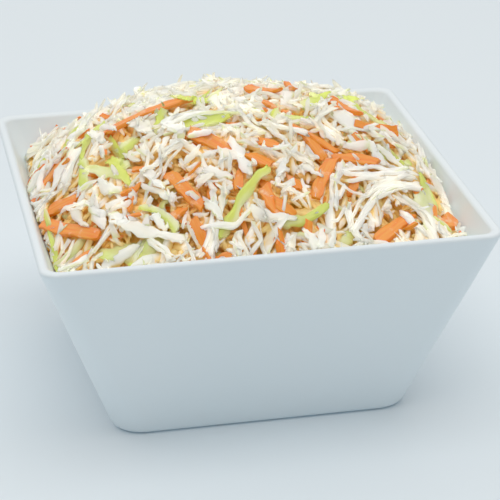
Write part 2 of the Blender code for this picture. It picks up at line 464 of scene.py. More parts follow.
def lay(kind, x, y, heading, length, width, thickness, bend=0.0, lift=(0.0, 0.0), stiffness=1.0,
        relief=False, allow=None, tint=None):
    """Lays one shred with its middle near (x, y), raises the ground to its top, and says whether it did.

    Where allow is given, a shred whose top would stand on average more than that above the finished
    heap is not laid, nor is one that would lie on pieces that have to stay in view.

    Its path in plan is a run of short steps whose heading turns evenly by bend. Height is
    the highest of many parabolas, one hung from the ground at each place on the path, with
    the radius that the shred can bend to. lift raises its two ends, in metres.
    """
    count = kind["stations"]
    share = stations_of(count) / 2
    wiggle = kind["wiggle"] * np.sin(share * chance.uniform(5, 12) + chance.uniform(0, 6.3))
    turn = heading + bend * share + wiggle
    step = np.diff(share) * length
    path_x = np.concatenate([[0], np.cumsum(np.cos((turn[1:] + turn[:-1]) / 2) * step)])
    path_y = np.concatenate([[0], np.cumsum(np.sin((turn[1:] + turn[:-1]) / 2) * step)])
    path_x += x - path_x[count // 2]
    path_y += y - path_y[count // 2]
    half = width / 2
    lane_x = path_x[:, None] - np.sin(turn)[:, None] * half * LANES
    lane_y = path_y[:, None] + np.cos(turn)[:, None] * half * LANES
    room = inner_half(float(sample(target, np.array([x]), np.array([y]))[0])) - WALL_GAP
    for lane, path in ((lane_x, path_x), (lane_y, path_y)):
        push = min(0.0, room - lane.max()) + max(0.0, -room - lane.min())
        lane += push
        path += push
    under = sample(soft, lane_x, lane_y)
    places = share * length
    slope = np.clip(resting_slope(under.max(axis=1), places), -STEEPEST, STEEPEST)
    level = under - slope * places[:, None]
    radius = kind["radius"] * stiffness
    sag = (places[:, None] - places[None, :]) ** 2 / (2 * radius)
    held = (level[None] - sag[:, :, None]).max(axis=1)
    roll = np.clip((held[:, 2] - held[:, 0]) / width, -STEEPEST_ROLL, STEEPEST_ROLL)
    height = np.maximum.reduce([held[:, 1], held[:, 0] + roll * half, held[:, 2] - roll * half])
    height += slope * places + thickness / 2
    height += lift[0] * np.clip(-2 * share, 0, 1) ** 2 + lift[1] * np.clip(2 * share, 0, 1) ** 2

    fine = np.linspace(0, count - 1, (count - 1) * FINER + 1)
    coarse = np.arange(count)
    fx, fy, fz, ft, fr = (np.interp(fine, coarse, v) for v in (path_x, path_y, height, turn, roll))
    across = np.linspace(-1, 1, max(3, int(width / CELL) + 2))
    top_x = fx[:, None] - np.sin(ft)[:, None] * half * across
    top_y = fy[:, None] + np.cos(ft)[:, None] * half * across
    top_z = fz[:, None] + fr[:, None] * half * across + thickness / 2 * (1 - 0.5 * across**2)
    i = np.clip(np.rint((top_x + EDGE) / CELL).astype(int), 0, CELLS - 1)
    j = np.clip(np.rint((top_y + EDGE) / CELL).astype(int), 0, CELLS - 1)
    if allow is not None and ((top_z - target[i, j]).mean() > allow or taken[i, j].mean() > MOST_HIDING):
        return False
    np.maximum.at(ground, (i, j), top_z)
    if allow is None and kind["shown"]:
        taken[i, j] = True
    if not relief:
        kind["laid"].append(np.stack([path_x, path_y, height, turn, roll]))
        kind["sizes"].append((length, width, thickness, chance.random() if tint is None else tint))
    return True


# %% Laying shreds where the heap lacks most
# How many places are looked at, how far round each of them, and the widest that a shred may be for
# its length.
LOOKS = 14
LOOK_ROUND = 2.5 * MM
WIDEST = 0.8


def lowest_place():
    """Of some random places, the one where the heap is furthest below its finished height."""
    spread = inner_half(RIM_Z) - LOOK_ROUND
    x, y = chance.uniform(-spread, spread, (2, LOOKS))
    around = np.array([[0, 0], [1, 0], [-1, 0], [0, 1], [0, -1]]) * LOOK_ROUND
    px, py = x[:, None] + around[:, 0], y[:, None] + around[:, 1]
    lack = (sample(target, px, py) - sample(ground, px, py)).mean(axis=1)
    best = lack.argmax()
    return x[best], y[best]


def span(low, high, lean=1.0):
    """A random number from low to high, crowded towards low where lean is over 1."""
    return low + (high - low) * chance.random() ** lean


def scatter(kind, allow, relief=False):
    """Draws one shred of a kind, lays it where the heap lacks most, and says whether it found room.

    Some kinds come in bundles: up to three more lie beside the first, each a little shorter or longer.
    """
    x, y = lowest_place()
    length = span(*kind["length"], 1.4) * MM
    width = min(span(*kind["width"], 1.3) * MM, length * WIDEST)
    lift = [span(0.0, kind["lift"] * MM, 2.5) if chance.random() < 0.5 else 0.0 for _ in range(2)]
    bend = chance.normal() * kind["bend"] * length / (20 * MM)
    heading, limp = chance.uniform(0, 2 * math.pi), span(0.6, 1.8)
    fits = False
    for _ in range(1 + chance.binomial(3, kind["bundle"])):
        fits |= lay(kind, x, y, heading, length, width, span(*kind["thick"]) * MM, bend, lift, limp, relief,
                    allow + kind["proud"] * MM)
        slip, slide = chance.normal(0.0, 0.6, 2) * np.array([width, length * 0.3])
        x += -math.sin(heading) * (slip + math.copysign(width * 0.5, slip)) + math.cos(heading) * slide
        y += math.cos(heading) * (slip + math.copysign(width * 0.5, slip)) + math.sin(heading) * slide
        heading += chance.normal() * 0.15
        length *= chance.uniform(0.6, 1.1)
        width *= chance.uniform(0.6, 1.1)
    return fits


# %% [markdown]
# ## The kinds of shred
#
# A head of cabbage cut fine gives several things: long strips and shorter slivers, broader scraps of
# leaf, thick bits of rib, threads and crumbs. The outermost leaves give strips in green. The carrot is
# cut into flat sticks with square edges. Each kind is a small table: its ranges of size in
# millimetres, how tightly it can bend, how much it curves, and the outline of its section. The last
# three kinds are the large pieces, whose sizes are given one by one.

# %% Sections of a shred
# Outlines of a section: across in half widths, up in half thicknesses, turning clockwise.
FLAT = np.array([(-1, -0.1), (-0.6, 0.9), (0.45, 1.0), (1, 0.1), (0.5, -0.9), (-0.6, -0.9)])
STICK = np.array([(-1, 0.75), (-0.85, 1), (0.85, 1), (1, 0.75), (1, -0.8), (-1, -0.8)])
FLAKE = np.array([(-1, 0.2), (-0.3, 1.0), (0.7, 0.8), (1, -0.2), (0.0, -1.0)])
RIBBON = np.array([(-1, 0), (-0.82, 0.75), (-0.35, 1.0), (0.1, 0.7), (0.55, 1.0), (0.9, 0.6), (1, -0.1),
                   (0.5, -0.9), (-0.1, -0.7), (-0.6, -0.9)])
SLAB = np.array([(-1, 0.65), (-0.88, 1), (-0.3, 0.9), (0.3, 1), (0.88, 0.95), (1, 0.65), (1, -0.7),
                 (0.85, -1), (-0.85, -1), (-1, -0.7)])


def kind_of(name, length, width, thick, radius, bend, lift, stations, section, **more):
    """A kind of shred. Its ranges of size, its tightest bend (radius) and its lift are in millimetres.

    wiggle and bend curve its path. twist, tumble and pitch turn it as it lies. tips and slant shape its
    ends. ragged, torn, cup and crumple roughen its edges and its faces. proud is how far it may stand
    out of the heap in millimetres, and bundle how often others lie beside it. Edges sharper than crease,
    in degrees, stay sharp. Where shown is True, later shreds keep clear of the ones placed one by one.
    """
    made = {"name": name, "length": length, "width": width, "thick": thick, "radius": radius * MM,
            "bend": bend, "lift": lift, "stations": stations, "section": section, "laid": [], "sizes": [],
            "wiggle": 0.0, "ragged": 0.0, "tips": (0.35, 1.0), "slant": 0.9, "cup": 0.0, "twist": 0.0,
            "tumble": 0.0, "pitch": 0.0, "torn": 0.2, "crumple": 0.0, "proud": 0.0, "crease": 50,
            "bundle": 0.0, "shown": True}
    made.update(more)
    return made


# %% Kinds of shred
knife_cut = {"wiggle": 0.25, "ragged": 0.3, "tips": (0.5, 1.1), "cup": 0.06, "twist": 0.7, "tumble": 0.5,
             "pitch": 0.1, "crumple": 0.03, "crease": 65, "bundle": 0.35}
strips = kind_of("cabbage_strips", (5, 24), (1.0, 2.6), (0.7, 1.2), 8, 1.0, 3.0, 11, FLAT, **knife_cut)
slivers = kind_of("cabbage_slivers", (5, 18), (1.0, 2.6), (0.7, 1.2), 8, 1.0, 3.0, 8, FLAT, **knife_cut)
leaves = kind_of("cabbage_leaves", (4, 10), (2.2, 4.6), (0.7, 1.2), 8, 0.6, 2.0, 12, FLAT, wiggle=0.15,
                 ragged=0.32, cup=0.12, twist=0.45, tumble=0.35, crumple=0.05, torn=0.25, crease=65,
                 proud=0.4)
ribs = kind_of("cabbage_ribs", (2.5, 9), (1.2, 2.8), (0.9, 1.7), 20, 0.6, 1.5, 8, FLAT, wiggle=0.2,
               ragged=0.3, tips=(0.5, 1.1), tumble=0.6, pitch=0.3, crumple=0.035, torn=0.25, crease=60)
threads = kind_of("cabbage_threads", (6, 20), (0.7, 1.4), (0.5, 0.9), 6, 1.4, 3.0, 12, FLAKE, wiggle=0.3,
                  ragged=0.15, tumble=0.8, crumple=0.05)
crumbs = kind_of("cabbage_crumbs", (1.6, 6), (0.9, 2.5), (0.7, 1.5), 20, 0.5, 0.5, 6, FLAKE, wiggle=0.1,
                 ragged=0.25, tips=(0.5, 1.1), tumble=0.9, pitch=0.45, crumple=0.06, torn=0.25, crease=45)
greens = kind_of("green_strips", (5, 18), (1.4, 3.8), (0.6, 1.0), 8, 1.0, 2.5, 12, FLAT, wiggle=0.2,
                 ragged=0.22, cup=0.08, twist=0.6, tumble=0.4, crumple=0.06, proud=0.3)
carrots = kind_of("carrot_sticks", (6, 15), (1.6, 3.4), (0.8, 1.4), 40, 0.35, 2.0, 10, STICK, wiggle=0.08,
                  ragged=0.12, tips=(0.5, 1.0), twist=0.3, tumble=0.35, crumple=0.03, torn=0.12, proud=0.6,
                  crease=35)
bits = kind_of("carrot_bits", (1.8, 6), (1.0, 2.6), (0.7, 1.4), 60, 0.3, 0.6, 6, STICK, wiggle=0.05,
               ragged=0.16, tips=(0.5, 1.0), tumble=0.6, pitch=0.3, crumple=0.05, torn=0.15, proud=0.3,
               crease=35)
ribbons = kind_of("cabbage_ribbons", None, None, None, 9, 0, 0, 20, RIBBON, wiggle=0.08, ragged=0.32,
                  tips=(0.35, 0.95), cup=0.1, twist=0.5, tumble=0.3, crumple=0.04, crease=65, shown=False)
leaf_ribbons = kind_of("green_ribbons", None, None, None, 10, 0, 0, 24, RIBBON, wiggle=0.06, ragged=0.2,
                       tips=(0.5, 1.0), cup=0.07, twist=0.3, tumble=0.12, crumple=0.05, torn=0.15)
slices = kind_of("carrot_slices", None, None, None, 80, 0, 0, 18, SLAB, wiggle=0.05, ragged=0.11,
                 tips=(0.6, 1.0), slant=0.5, twist=0.15, tumble=0.12, crumple=0.03, torn=0.1, crease=35)
cabbage_kinds = (strips, slivers, leaves, ribs, threads, crumbs, ribbons)
green_kinds = (greens, leaf_ribbons)
carrot_kinds = (carrots, bits, slices)
print("kinds of shred:", ", ".join(kind["name"] for kind in cabbage_kinds + green_kinds + carrot_kinds))

# %% [markdown]
# ## Filling the bowl
#
# The first shreds only shape the core, as relief. Then the loose ones go down in courses, with
# the kinds shuffled within a course as they would be by a spoon.

# %% Courses
TRIES = 5
SETTLE_EVERY = 40


def settle():
    """The ground as later shreds feel it: what stands up from its surroundings gives way under them."""
    soft[:] = np.minimum(ground, blurred(ground, 1.5 * MM) + 0.15 * MM)


def shuffled(mix):
    """The places in mix, each repeated as often as mix says, in a random order."""
    return chance.permutation(np.repeat(np.arange(len(mix)), [count for _, count in mix]))


def course(title, mix, allow, relief=False):
    """Lays up to the number of each kind that mix gives, in a random order, where there is room.

    allow is how far above the finished heap a shred may stand, in millimetres.
    """
    order = shuffled(mix)
    laid = 0
    for turn, pick in enumerate(order):
        if turn % SETTLE_EVERY == 0:
            settle()
        laid += any(scatter(mix[pick][0], allow * MM, relief) for _ in range(TRIES))
    lack = (target - ground) / MM
    print("%s: %d of %d laid, heap lacks %.1f mm, uneven by %.1f mm"
          % (title, laid, len(order), lack.mean(), lack.std()))


# %% The lower courses
course("core relief", [(slivers, 240), (ribs, 160), (leaves, 60)], -4.6, relief=True)
relief = ground.copy()
course("under layer", [(slivers, 420), (leaves, 160), (ribs, 220), (threads, 30), (greens, 30),
                       (carrots, 16), (bits, 60), (crumbs, 160)], -2.4)
course("middle layer", [(slivers, 360), (carrots, 16), (leaves, 70), (greens, 40), (ribs, 420),
                        (crumbs, 260), (bits, 50)], -0.8)

# %% [markdown]
# ## The large pieces
#
# The eye follows the large pieces: flat slices of carrot, green ribbons, long white strips. Chance
# would seldom lay them well, so they are placed one by one, most of them before the last layer closes
# round them. Later shreds keep clear of the slices, the green ribbons and the strips by the crown.

# %% Placing a piece


def place(kind, x, y, x_end, y_end, width, thickness=1.1, bend=0.0, lift=(0.0, 0.0), tint=None):
    """Lays a piece from one place to another. Lengths are in millimetres.

    An arc that turns by bend is longer than its chord by (bend / 2) / sin(bend / 2), and its
    middle stands off the chord by length * (1 - cos(bend / 2)) / bend, on the outer side.
    """
    chord, heading = math.hypot(x_end - x, y_end - y), math.atan2(y_end - y, x_end - x)
    half = bend / 2
    length = chord * (half / math.sin(half) if half else 1.0)
    off = length * (1 - math.cos(half)) / bend if half else 0.0
    middle_x, middle_y = (x + x_end) / 2 + off * math.sin(heading), (y + y_end) / 2 - off * math.cos(heading)
    lay(kind, middle_x * MM, middle_y * MM, heading, length * MM, width * MM, thickness * MM, bend,
        (lift[0] * MM, lift[1] * MM), tint=chance.uniform(0.25, 0.85) if tint is None else tint)


# The share of a strip's width that a part has, where there are one, two or three. They overlap a little.
PART_WIDTHS = (1.0, 0.65, 0.45)


def place_frayed(x, y, x_end, y_end, width, thickness, bend=0.0, lift=(0.0, 0.0)):
    """Lays a strip cut from a folded leaf: up to three shreds side by side, that part at the ends."""
    length = math.hypot(x_end - x, y_end - y)
    parts = 1 + int(length > 5 * width) + int(length > 8 * width)
    beside_x, beside_y = -(y_end - y) / length, (x_end - x) / length
    part_width = width * PART_WIDTHS[parts - 1]
    for part in range(parts):
        shift = (part - (parts - 1) / 2) * width / parts
        loose = chance.normal(0.0, 0.35, 4) if parts > 1 else np.zeros(4)
        place(ribbons, x + beside_x * shift + loose[0], y + beside_y * shift + loose[1],
              x_end + beside_x * shift + loose[2], y_end + beside_y * shift + loose[3],
              part_width, thickness, bend + 0.12 * loose[0], lift)


# %% [markdown]
# A piece is given by where it starts and ends in plan, its width and its thickness, and then, where it
# needs them, the angle that it turns by, how far its two ends lift, and its tint. Lengths are in
# millimetres and angles in radians. The first number runs to the right, and the second to the back.

# %% Pale strips by the crown
CROWN_STRIPS = [
    (-27, 1, -12, 9, 2.6, 1.0, 0.4), (-14, 9, 2, 12, 2.4, 1.0, -0.5), (0, 3, 13, 8, 3, 1.0, 0.5),
    (13, 3, 26, 9, 2.4, 1.0, -0.4), (23, 2, 35, 5, 2.6, 1.0, 0.4), (-39, 6, -27, 13, 3, 1.0, 0.3),
    (-44, 8, -39, 16, 3.4, 1.0), (-7, 13, 8, 15, 2.2, 0.9, 0.6), (30, 8, 40, 11, 2.4, 0.9, -0.5),
    (-54, 8, -48, 15, 3, 1.0), (37, -1, 45, 4, 3, 1.0), (-20, -3, -8, 1, 2.8, 1.0, -0.3),
    (1, -5, 14, -3, 2.6, 1.0, 0.5), (16, -5, 20, 3, 3.2, 1.0), (-31, -7, -24, -1, 3.4, 1.0),
    (47, -4, 56, -8, 2.6, 1.0, 0.3),
]
settle()
before = ground.copy()
for piece in CROWN_STRIPS:
    place_frayed(*piece)
taken |= ground > before
print("%d strips by the crown" % len(CROWN_STRIPS))

# %% Slices of carrot
CARROT_SLICES = [
    (-41, -9, -12, -1, 3.6, 1.4, -0.1), (-39, 20, -31, 10, 1.8, 0.9, 0.2, (2.5, 0)),
    (-61, -4, -53, -6, 5, 1.6), (-64, 17, -60, 8, 3.6, 1.4), (-50, -19, -44, -22, 3.2, 1.3),
    (-62, -20, -53, -25, 4.8, 1.8), (-64, -23, -49, -46, 4.2, 1.4, 0.1), (-36, -26, -32, -29, 2.2, 1.0),
    (-41, -34, -37, -36, 3.2, 1.2), (-17, -22, -5, -34, 4.4, 1.4, -0.2), (-2, -34, 5, -39, 4.4, 1.4),
    (-26, -34, -18, -50, 4.4, 1.5, 0.15), (-5, -39, -7, -46, 2.8, 1.2), (1, -46, 3, -57, 4, 1.4),
    (3, -52, 9, -54, 4.2, 1.5), (7, 10, 15, 1, 4.6, 1.5, 0, (1.6, 0.6)),
    (20, 11, 21, 1, 2.4, 1.2, 0, (1.6, 0.8)), (3, -29, 9, -31, 4, 1.4),
    (31, -5, 41, -10, 3.8, 1.5, 0, (1.0, 1.2)), (36, -17, 53, -8, 4.2, 1.4, 0, (0.8, 1.2)),
    (16, -22, 28, -29, 3.2, 1.4, 0.2), (17, -24, 23, -32, 3.4, 1.3), (25, -34, 16, -50, 4, 1.4, 0.4),
    (26, -32, 40, -33, 3.8, 1.5, -0.3), (48, 0, 55, 2, 3, 1.2), (33, -59, 47, -46, 4.4, 1.5),
    (59, -46, 62, -39, 5, 2.0), (28, -44, 31, -40, 3, 1.2), (-22, -52, -20, -59, 4.2, 1.4),
    (-28, -49, -24, -46, 3.2, 1.2), (-5, -18, -1, -20, 2.6, 1.1), (9, -43, 13, -45, 3.6, 1.3),
    (51, -35, 61, -17, 2.2, 1.1, 0.5), (-17, -63, -12, -63, 2.4, 1.2), (-58, -45, -53, -47, 3, 1.2),
    (-30, 40, -18, 48, 4, 1.4), (-8, 36, 6, 42, 4.2, 1.4), (14, 53, 28, 47, 4, 1.4),
    (34, 34, 44, 44, 4, 1.4), (-49, 50, -38, 57, 4, 1.4), (-2, 57, 10, 61, 3.6, 1.3),
    (47, 18, 56, 28, 4, 1.4), (-22, 60, -14, 53, 3.6, 1.3), (40, 57, 51, 50, 4, 1.4),
    (20, 30, 28, 38, 3.6, 1.3), (9, -6, 13, -9, 2.6, 1.1), (14, -11, 17, -14, 2.4, 1.1),
]
settle()
for piece in CARROT_SLICES:
    place(slices, *piece)
print("%d slices of carrot" % len(CARROT_SLICES))

# %% Green ribbons
GREEN_RIBBONS = [
    (-54, 4, -47, 22, 4, 0.9, 0.2, (0, 1), 0.8), (-49, -2, -36, 14, 4.4, 1.0, 0.2, (0, 0), 0.7),
    (-45, 1, -51, -10, 4.6, 1.1, 0, (0, 0), 0.9), (-39, -16, -33, -14, 4.2, 1.1),
    (-42, -18, -38, -25, 4.2, 1.0), (-49, -17, -37, -31, 4.2, 0.9, 0.3),
    (-36, -42, -27, -54, 3.2, 1.1, -1.0), (-27, -12, -22, -5, 2.8, 1.0), (-62, 27, -57, 18, 2.6, 0.9),
    (-58, 30, -51, 29, 4, 0.9), (-24, 12, -17, 24, 3.4, 0.8, 0.2, (0, 1)),
    (-30, 16, -24, 24, 2.8, 0.8, 0, (0, 1)), (-50, -11, -52, -25, 3.2, 1.0, -0.4),
    (-18, -15, -6, -17, 6.6, 1.3, -0.5, (0.4, 0.4), 0.75),
    (-14, -58, 4, -40, 3.8, 1.4, -0.35, (0.5, 0.8), 0.6), (3, -8, 16, -16, 1.6, 0.8, 0.3),
    (15, -16, 22, -15, 3.8, 0.9), (-18, 0, -13, 4, 3.6, 1.0), (-13, 0, -8, 3, 4.6, 1.0),
    (-10, 7, -3, 8, 2.6, 0.9), (4, -58, 20, -50, 3.2, 1.3, 0.35, (0.5, 0.8), 0.7),
    (26, 0, 41, 4, 4.6, 1.0, 0.2, (2, 2), 1.0), (-19, 1, -13, -4, 3.6, 1.0, 0, (1, 0.6), 0.85),
    (-12, 0, -8, -5, 3.2, 1.0, 0, (1, 0.6), 0.8), (-9, 3, -3, 10, 4.4, 1.0, 0, (1, 2), 0.5),
    (21, -9, 30, 1, 4.6, 1.0, 0, (0.5, 1.5), 0.7), (39, 1, 48, -8, 3.4, 1.0, 0.3, (1, 1), 0.9),
    (38, -22, 44, -28, 2, 0.9, -0.6), (46, -20, 51, -24, 1.8, 0.8, 0.5), (51, -23, 54, -19, 2.6, 0.9),
    (51, -43, 57, -27, 8, 1.0, 0.2, (1, 0), 0.15), (54, -43, 60, -53, 1.8, 0.8, -0.9),
    (22, -61, 26, -56, 4, 1.1), (-66, -20, -65, -44, 1.8, 0.8),
    (-50, -50, -37, -54, 7, 1.0, 0.4, (0, 0), 0.2), (-39, -57, -31, -53, 5, 1.0, -0.6, (0, 0), 0.2),
    (-40, 36, -28, 33, 4, 1.0), (-14, 45, -4, 53, 4.2, 1.0), (24, 40, 36, 53, 3.6, 1.0, 0.4),
    (6, 47, 16, 41, 3, 0.9), (-34, 57, -28, 48, 4, 1.0), (44, 33, 54, 39, 4, 1.0, 0.3),
    (54, 5, 60, 15, 4, 1.0), (-54, 43, -46, 37, 4, 1.0, 0.3),
]
settle()
for piece in GREEN_RIBBONS:
    place(leaf_ribbons, *piece)
print("%d green ribbons" % len(GREEN_RIBBONS))

# %% [markdown]
# ## The upper layer
#
# What one sees most of is the last layer. Long white strips are placed on it one by one as well, and a
# few loose ends go over them. Nothing marks those strips off, so that they are partly covered, as in
# a real heap. Short tufts come last, on the crest, whose outline would otherwise be too smooth.

# %% The upper layer
course("upper layer", [(strips, 460), (leaves, 90), (ribs, 520), (threads, 160), (greens, 50), (carrots, 10),
                       (bits, 40), (crumbs, 760)], 0.6)

# %% Long white strips
LONG_STRIPS = [
    (-24, -16, 1, -17, 3.4, 1.2, -1.5), (-34, -9, -29, -16, 5, 1.2), (-27, -29, -20, -26, 5, 1.8),
    (61, -12, 63, 2, 2.4, 1.0, 0, (0, 1)), (-18, -25, -11, -25, 2.6, 1.8),
    (-6, -29, -2, -43, 3.4, 1.2, 0.3), (-46, -2, -43, -14, 3.4, 1.3), (-42, -1, -39, -12, 2.8, 1.2),
    (6, -21, 19, -26, 2.4, 1.0, 0.5), (31, -14, 36, -25, 4.4, 1.2), (38, -26, 42, -31, 3.6, 1.1),
    (28, -40, 53, -28, 3.2, 1.2, 0.25), (34, -46, 54, -33, 2.8, 1.2, -0.1),
    (26, -56, 46, -38, 3.2, 1.3, -0.7), (48, -45, 57, -55, 2, 1.0), (24, -41, 21, -52, 2, 1.0, 0.3),
    (-4, -56, 6, -58, 4, 1.2), (-19, -55, -4, -53, 2, 1.0, 1.4), (-17, -57, -17, -63, 1.6, 1.0),
    (-42, -46, -26, -59, 4.2, 1.3), (-61, -14, -52, -5, 3, 1.1, -0.2), (-57, -15, -50, -5, 2.4, 1.1),
    (-17, -50, -15, -55, 3, 1.2), (-10, -35, -4, -37, 4, 1.3), (-16, -40, -8, -43, 3, 1.1, 0.3),
    (-24, -16, -19, -21, 4.4, 1.3), (9, -35, 18, -37, 3, 1.1), (-53, -57, -41, -52, 4.8, 1.2),
    (-36, -52, -30, -62, 2.2, 1.0), (10, -60, 13, -65, 3, 1.1), (16, -58, 14, -65, 2.4, 1.0),
    (20, -58, 17, -65, 2.2, 1.0), (26, -50, 28, -62, 2, 1.0, 0.4), (-33, -33, -29, -41, 3.6, 1.2),
    (-47, -29, -42, -36, 3.6, 1.2), (-51, -33, -47, -44, 3, 1.2, 0.2), (-56, -30, -52, -40, 2.4, 1.1),
    (-45, -42, -41, -47, 4.4, 1.3), (-33, -47, -30, -52, 2.8, 1.1), (9, -39, 5, -44, 2.6, 1.1),
    (14, -39, 20, -42, 2.6, 1.1), (43, -24, 50, -29, 2.8, 1.0), (57, -14, 60, -22, 2.8, 1.0),
    (43, -48, 50, -58, 2.2, 1.0, -0.3), (-12, -8, -4, -4, 2.6, 1.0), (23, -19, 30, -13, 2.8, 1.0, -0.4),
    (5, -5, 9, 4, 2.6, 1.0), (46, -12, 54, -14, 2.4, 1.0), (-34, 4, -26, 10, 3, 1.0),
    (-57, 6, -52, 13, 2.4, 1.0), (-20, 37, -7, 31, 3, 1.2), (0, 43, 14, 51, 3.2, 1.2, 0.3),
    (-44, 44, -32, 51, 3, 1.2), (30, 26, 42, 32, 3, 1.1, -0.3), (17, 57, 32, 61, 3, 1.2),
    (-10, 58, -22, 46, 3, 1.2, 0.4), (50, 44, 58, 30, 3, 1.1, 0.2), (-58, 32, -50, 46, 3, 1.1),
]
settle()
for piece in LONG_STRIPS:
    place_frayed(*piece)
print("%d long white strips" % len(LONG_STRIPS))

# %% Loose ends, and tufts on the crest
CREST_TUFTS = [
    (-36, 22, -30, 19, 2.0, 0.9, 0.4, (3, 0)), (-25, 21, -27, 28, 1.2, 0.7, 0.5, (0, 2)),
    (-37, 16, -34, 24, 1.4, 0.8, 0.3, (0, 1.5)), (-21, 21, -14, 24, 1.4, 0.7, 0.6, (0, 1)),
    (-5, 18, 4, 22, 1.6, 0.7, -0.5, (0, 2)), (3, 16, -6, 22, 2.0, 0.8, 0.7, (0, 2)),
    (8, 17, 14, 21, 1.8, 0.8, 0.9, (0, 2.5)), (-30, 14, -24, 20, 1.6, 0.8, -0.4, (0, 1.5)),
    (18, 14, 24, 19, 1.2, 0.7, 0.6, (0, 2)), (26, 12, 33, 17, 1.6, 0.8, 0.4, (0, 1.5)),
    (33, 10, 41, 14, 1.6, 0.8, 0.5, (0, 1.5)), (45, 6, 52, 9, 1.8, 0.9, 0.4, (0, 1.5)),
    (-47, 14, -43, 19, 1.4, 0.8, 0.5, (0, 1)), (54, -2, 60, 3, 2.2, 0.9, 0.4, (0, 1.5)),
    (-56, 28, -61, 33, 2.4, 0.9, 0, (0, 1)), (60, -22, 65, -16, 2.6, 0.9, 0, (0, 1)),
]
course("loose ends", [(threads, 160), (crumbs, 560), (bits, 30), (strips, 140), (ribs, 260)], 1.5)
for piece in CREST_TUFTS:
    place(ribbons, *piece)
skyline = blurred(ground, 1.6 * MM)
print("%d tufts, heap up to %.1f mm high" % (len(CREST_TUFTS), ground.max() / MM))

# %% [markdown]
# ## Closing the gaps
#
# Dressing and fine bits fill the heap between its shreds, so that one never sees far into it. The
# core's top therefore follows the first shreds, and stays a few millimetres under the finished heap.
# Where it would still lie bare, small pieces are laid over it.

# %% The core's height
CORE_BELOW = 2.6 * MM
# Nothing uses this draw. It only keeps all the draws after it, and so all the shreds, as they are.
chance.normal(size=ground.shape)
core_top = np.minimum(relief, blurred(ground, 1.8 * MM) - CORE_BELOW)
print("core: top up to %.1f mm high" % (core_top.max() / MM))

# %% Filling the gaps
BARE_UNDER = 0.3 * MM
LOOK_EVERY = 12
LONGEST_FILLER = 9 * MM


def fill_gaps(title, mix):
    """Lays small pieces where less than BARE_UNDER covers the core, each at a random bare place.

    The bare places are looked for again after every few pieces.
    """
    half = inner_half(RIM_Z) - 4 * MM
    inside = np.abs(axis) < half
    open_heap = np.outer(inside, inside)
    for turn, pick in enumerate(shuffled(mix)):
        if turn % LOOK_EVERY == 0:
            bare = np.argwhere(open_heap & (ground < core_top + BARE_UNDER))
            soft[:] = np.maximum(ground, core_top)
            if len(bare) == 0:
                break
        i, j = bare[chance.integers(len(bare))]
        kind = mix[pick][0]
        length, width = span(*kind["length"], 2.0) * MM, span(*kind["width"], 1.5) * MM
        lay(kind, axis[i], axis[j], chance.uniform(0, 2 * math.pi), min(length, LONGEST_FILLER),
            min(width, length * WIDEST), span(*kind["thick"]) * MM, chance.normal() * 0.3, stiffness=0.6,
            allow=3 * MM)
    print("%s: %d tried, core bare over %.1f%%" % (title, turn, 100 * len(bare) / open_heap.sum()))


fill_gaps("gap filling", [(crumbs, 420), (bits, 60), (threads, 50), (slivers, 110), (greens, 20)])

# %% [markdown]
# ## From paths to meshes
#
# All the shreds of a kind are made at once. Their paths, slopes and sizes stand in arrays with one
# row for each shred. A section outline is carried along each path on a frame of three directions:
# along, across and up. The ends narrow to a blunt tip, and the two edges wander on their own, so
# that no two shreds are alike.

# %% Helpers for swept sections


def unit(vectors):
    """Vectors scaled to length one."""
    return vectors / np.maximum(np.linalg.norm(vectors, axis=-1, keepdims=True), 1e-12)


def inside_bowl(points, gap):
    """Points moved inwards where they would cut the wall: each side is a limit at the point's height."""
    limit = inner_half(np.clip(points[..., 2], FLOOR, RIM_Z)) - gap
    corner = inner_corner(np.clip(points[..., 2], FLOOR, RIM_Z))
    plan = np.clip(points[..., :2], -limit[..., None], limit[..., None])
    over = np.abs(plan) - (limit - corner)[..., None]
    outside = (over > 0).all(axis=-1)
    length = np.linalg.norm(over, axis=-1)
    shrink = np.where(outside & (length > corner), corner / np.maximum(length, 1e-9), 1.0)[..., None]
    plan = np.where(outside[..., None], np.sign(plan) * ((limit - corner)[..., None] + over * shrink), plan)
    return np.concatenate([plan, points[..., 2:]], axis=-1)


def wander(count, stations, roughness):
    """Random wandering about 1, smoothed a little along each row."""
    drift = chance.normal(size=(count, stations + 2))
    return 1.0 + roughness * (drift[:, :-2] + 1.5 * drift[:, 1:-1] + drift[:, 2:]) / 2.1


def shade_strength(height):
    """How strong the painted shade under the skyline is: all of it near the rim, and half of it near the
    crown.
    """
    return np.clip(1.2 - 0.7 * (height - RIM_Z) / (26 * MM), 0.45, 1.2)


# %% Sweeping sections along paths
SHRED_GAP = 0.25 * MM


